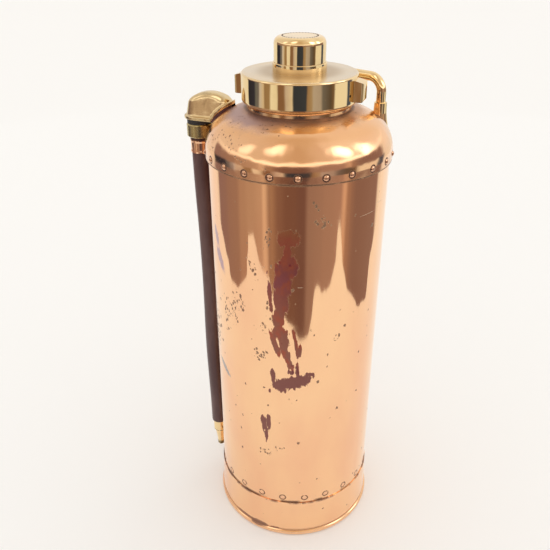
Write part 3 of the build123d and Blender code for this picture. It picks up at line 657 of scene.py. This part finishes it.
def hose_material():
    """Dark maroon rubber over canvas: a faint weave, dust and rubbed marks."""
    material, s, shader = new_material("hose_rubber")
    dust = s.ramp(s.noise(40, 4, 0.6, (1, 1, 0.25)), 0.4, 0.75)
    base = s.mix(dust, (0.066, 0.022, 0.022), (0.13, 0.066, 0.06))
    rubs = s.ramp(s.noise(420, 2, 0.5, (1, 1, 0.5), 4.0), 0.74, 0.78)
    base = s.mix(s.times(rubs, 0.5), base, (0.30, 0.22, 0.18))
    s.join(base, shader.inputs["Base Color"])
    s.join(s.plus(s.times(dust, 0.12), 0.33), shader.inputs["Roughness"])
    weave = s.add("ShaderNodeTexWave", wave_type="BANDS", bands_direction="Z")
    s.join(s.coords(), weave.inputs["Vector"])
    weave.inputs["Scale"].default_value = 260
    weave.inputs["Distortion"].default_value = 1.5
    bump(s, shader, weave.outputs["Fac"], 0.00005)
    bump(s, shader, s.noise(1200, 2), 0.00008)
    return material


# ---------------------------------------------------------------- pieces

DOT_COUNT = 36
DOT_R = 0.00085
DOT_RING_R = 0.0163


def soften(source, name, voxel, rounds):
    """A copy of a CAD node as a casting: its edges and inside corners are rounded over."""
    piece = bpy.data.objects.new(name, source.data.copy())
    scene.collection.objects.link(piece)
    remesh = piece.modifiers.new("remesh", "REMESH")
    remesh.mode = "VOXEL"
    remesh.voxel_size = voxel
    smooth = piece.modifiers.new("smooth", "SMOOTH")
    smooth.factor = 0.5
    smooth.iterations = rounds
    depsgraph = bpy.context.evaluated_depsgraph_get()
    mesh = bpy.data.meshes.new_from_object(piece.evaluated_get(depsgraph), depsgraph=depsgraph)
    piece.modifiers.clear()
    piece.data = mesh
    mesh.shade_smooth()
    return piece


def make_elbow(material):
    """The outlet's cast bonnet, softened from the CAD solid."""
    elbow = soften(nodes["outlet_elbow"], "elbow_casting", 0.0006, 7)
    elbow.data.materials.clear()
    elbow.data.materials.append(material)
    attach(elbow, "shell")
    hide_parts("outlet_elbow")


def make_spring(material):
    """The spring under the knob, as a copy that rides with the cap."""
    spring = bpy.data.objects.new("knob_spring", nodes["return_spring"].data.copy())
    scene.collection.objects.link(spring)
    spring.data.materials.clear()
    spring.data.materials.append(material)
    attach(spring, "cap")
    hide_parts("return_spring")
    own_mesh(spring)


def make_knob_dots(material):
    """A ring of punched dots on the knob's top, in place of any lettering."""
    bm = bmesh.new()
    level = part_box("strike_knob")[1].z - 0.0001
    flat = Matrix.Diagonal((1, 1, 0.4, 1))
    for i in range(DOT_COUNT):
        turn = 2 * math.pi * i / DOT_COUNT
        place = Matrix.Translation((DOT_RING_R * math.cos(turn), DOT_RING_R * math.sin(turn), level))
        bmesh.ops.create_uvsphere(bm, u_segments=12, v_segments=8, radius=DOT_R, matrix=place @ flat)
    mesh = bpy.data.meshes.new("knob_dots")
    bm.to_mesh(mesh)
    bm.free()
    mesh.shade_smooth()
    mesh.materials.append(material)
    piece = bpy.data.objects.new("knob_dots", mesh)
    scene.collection.objects.link(piece)
    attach(piece, "striker")


def nozzle_material():
    """Polished brass, dark at the tip and at the holder's lower edge."""
    material, s, shader = new_material("nozzle_brass")
    _, height, _ = s.round_coords()
    tip = s.ramp(height, 36, 32)
    edge = s.times(s.ramp(height, 53, 54.2), s.ramp(height, 56.5, 55.2))
    mask = s.times(s.most(tip, edge), s.ramp(s.noise(300, 3), 0.3, 0.5), 0.9)
    s.join(s.mix(mask, BRASS, (0.10, 0.09, 0.05)), shader.inputs["Base Color"])
    shader.inputs["Metallic"].default_value = 1.0
    s.join(s.plus(s.times(mask, 0.3), 0.09), shader.inputs["Roughness"])
    bump(s, shader, s.noise(700, 2), 0.00001)
    return material


def paint(material, *names):
    """Gives CAD nodes a material."""
    for name in names:
        for slot in nodes[name].material_slots:
            slot.material = material


# ---------------------------------------------------------------- the scene

make_camera()
make_hose(hose_material())
make_world()
make_floor()

polished = metal_material("polished_brass", BRASS, 0.05, 0.0002, 0.000002, 0.35, 0.6)
cast = metal_material("cast_brass", (0.74, 0.58, 0.33), 0.16, 0.0012, 0.00003, 0.75, 0.55)
nut_brass = metal_material("nut_brass", (0.50, 0.41, 0.20), 0.27, 0.0003, 0.00004, 0.8, 0.45)
dull = metal_material("dull_brass", (0.66, 0.48, 0.26), 0.2, 0.0002, 0.00001, 0.5, 0.5)
trim = metal_material("copper_trim", (0.90, 0.54, 0.33), 0.1, 0.0003, 0.000004, 0.5, 0.55)
rivet = metal_material("rivet_copper", (0.74, 0.43, 0.27), 0.16, 0.0002, 0.00001, 0.7, 0.4)
collar = metal_material("neck_brass", (0.80, 0.50, 0.27), 0.16, 0.0002, 0.00001, 0.6, 0.5)
steel = plain_material("steel", (0.6, 0.6, 0.6), 0.3, 1.0)
black = plain_material("black_rubber", (0.03, 0.025, 0.025), 0.5)
dark = plain_material("dark_metal", (0.10, 0.045, 0.035), 0.4, 0.6)
gasket = plain_material("gasket", (0.11, 0.035, 0.04), 0.6)
glass = plain_material("glass", (0.8, 0.9, 0.85), 0.05)
glass.node_tree.nodes["Principled BSDF"].inputs["Transmission Weight"].default_value = 1.0

paint(tank_material(), "body_cylinder")
paint(dome_material(), "dome")
paint(skirt_material(), "base_skirt")
paint(rivet, "dome_rivets")
paint(trim, "bottom_rivets", "bottom_end", "upper_ferrule")
paint(cap_material(), "head_cap")
paint(polished, "knob_collar", "strike_knob", "handle_rod", "handle_foot_left", "handle_foot_right")
paint(nozzle_material(), "nozzle_holder", "nozzle")
paint(nut_brass, "hose_nut")
paint(collar, "neck_collar")
paint(dull, "saddle_washer", "elbow_backnut", "dip_tube", "dip_strainer", "cage_ring", "cage_straps")
paint(dull, "cage_cup", "handle_pins", "gland_nut", "plunger_rod", "plunger_head")
paint(dark, "hose_tail")
paint(steel, "foot_bead_wire", "plunger_pin")
paint(black, "bottle_pad", "hose_washer")
paint(gasket, "elbow_gasket", "tail_washer", "cap_washer", "gland_packing")
paint(glass, "acid_bottle")
make_elbow(cast)
make_spring(steel)
make_knob_dots(dark)
